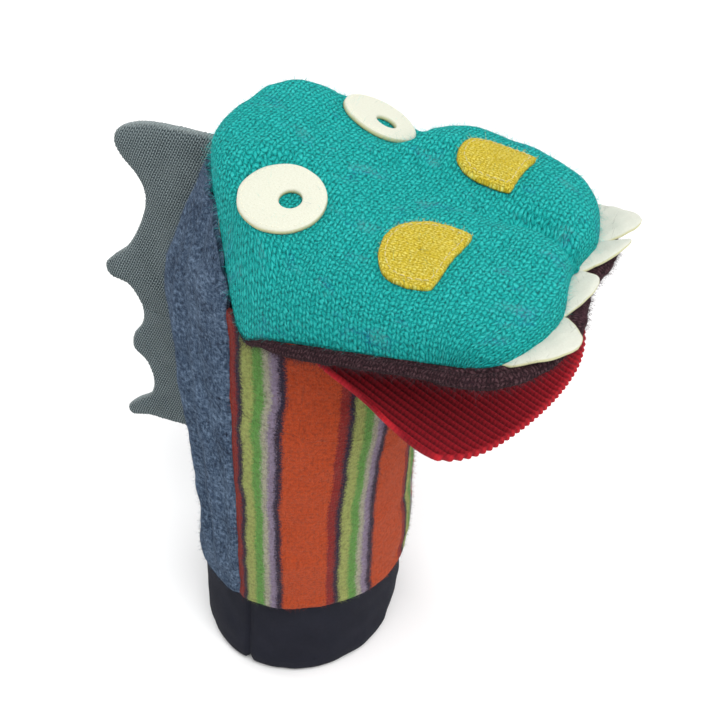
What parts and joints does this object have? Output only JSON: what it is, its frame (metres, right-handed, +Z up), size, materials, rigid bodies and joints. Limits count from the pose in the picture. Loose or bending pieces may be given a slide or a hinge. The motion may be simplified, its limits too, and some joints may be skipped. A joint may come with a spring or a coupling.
{
  "type": "hand puppet",
  "caption": "Sewn dragon hand puppet in felted wool and jersey: a hand in the sleeve nods and turns the head and opens the toothed mouth.",
  "frame": {"origin": "centre of the hand opening, on the bottom edge of the cuff", "axes": "+Z up the sleeve, the face looks along -Y, +X is the left side of the puppet"},
  "size_m": [0.146, 0.2567, 0.2852],
  "materials": {
    "cuff_jersey": "dark navy cotton jersey",
    "lining_jersey": "navy cotton jersey",
    "belly_wool": "felted striped wool, orange ground",
    "back_wool": "felted heather wool, navy",
    "crest_jersey": "fine grey-blue jersey, two layers",
    "head_wool": "felted stockinette wool, teal",
    "mouth_wool": "felted wool, plum black",
    "plate_board": "thin flexible board",
    "stuffing_fill": "loose polyester fibre",
    "eye_felt": "wool felt, cream",
    "nostril_felt": "wool felt, mustard",
    "tooth_felt": "wool felt, off white",
    "jaw_rib": "rib knit, red"
  },
  "bodies": {
    "sleeve": {"cuff_front": "cuff_jersey", "cuff_back": "cuff_jersey", "sleeve_lining": "lining_jersey", "belly_lower": "belly_wool", "back_lower_right": "back_wool", "back_lower_left": "back_wool", "crest_lower": "crest_jersey"},
    "neck": {"wrist_lining": "lining_jersey", "belly_upper": "belly_wool", "back_upper_right": "back_wool", "back_upper_left": "back_wool", "crest_middle": "crest_jersey"},
    "head": {"throat_panel": "belly_wool", "wrist_fold_right": "back_wool", "wrist_fold_left": "back_wool", "crest_nape": "crest_jersey", "nape_right": "back_wool", "nape_left": "back_wool", "crest_upper": "crest_jersey", "head_top": "head_wool", "palate": "mouth_wool", "upper_mouth_plate": "plate_board", "finger_pocket": "lining_jersey", "crown_stuffing": "stuffing_fill", "snout_stuffing": "stuffing_fill", "mouth_fold": "mouth_wool", "eye_right": "eye_felt", "eye_left": "eye_felt", "nostril_right": "nostril_felt", "nostril_left": "nostril_felt", "tooth_outer_right": "tooth_felt", "tooth_inner_right": "tooth_felt", "tooth_inner_left": "tooth_felt", "tooth_outer_left": "tooth_felt"},
    "jaw": {"jaw_lining": "jaw_rib", "lower_mouth_plate": "plate_board", "thumb_pocket": "lining_jersey", "chin_panel": "jaw_rib"}
  },
  "joints": [
    {"name": "neck_turn", "type": "hinge", "parent": "sleeve", "child": "neck", "pos_m": [0, 0, 0.118], "axis": [0, 0, 1], "range_deg": [-25, 25], "stiffness_Nm_per_rad": 0.4},
    {"name": "head_nod", "type": "hinge", "parent": "neck", "child": "head", "pos_m": [0, 0.005, 0.195], "axis": [1, 0, 0], "range_deg": [-18, 12], "stiffness_Nm_per_rad": 1.5, "deforming": ["throat_panel", "wrist_fold_right", "wrist_fold_left", "crest_nape"]},
    {"name": "mouth", "type": "hinge", "parent": "head", "child": "jaw", "pos_m": [0, -0.032, 0.221], "axis": [1, 0, 0], "range_deg": [-35, 12], "stiffness_Nm_per_rad": 0.4}
  ]
}
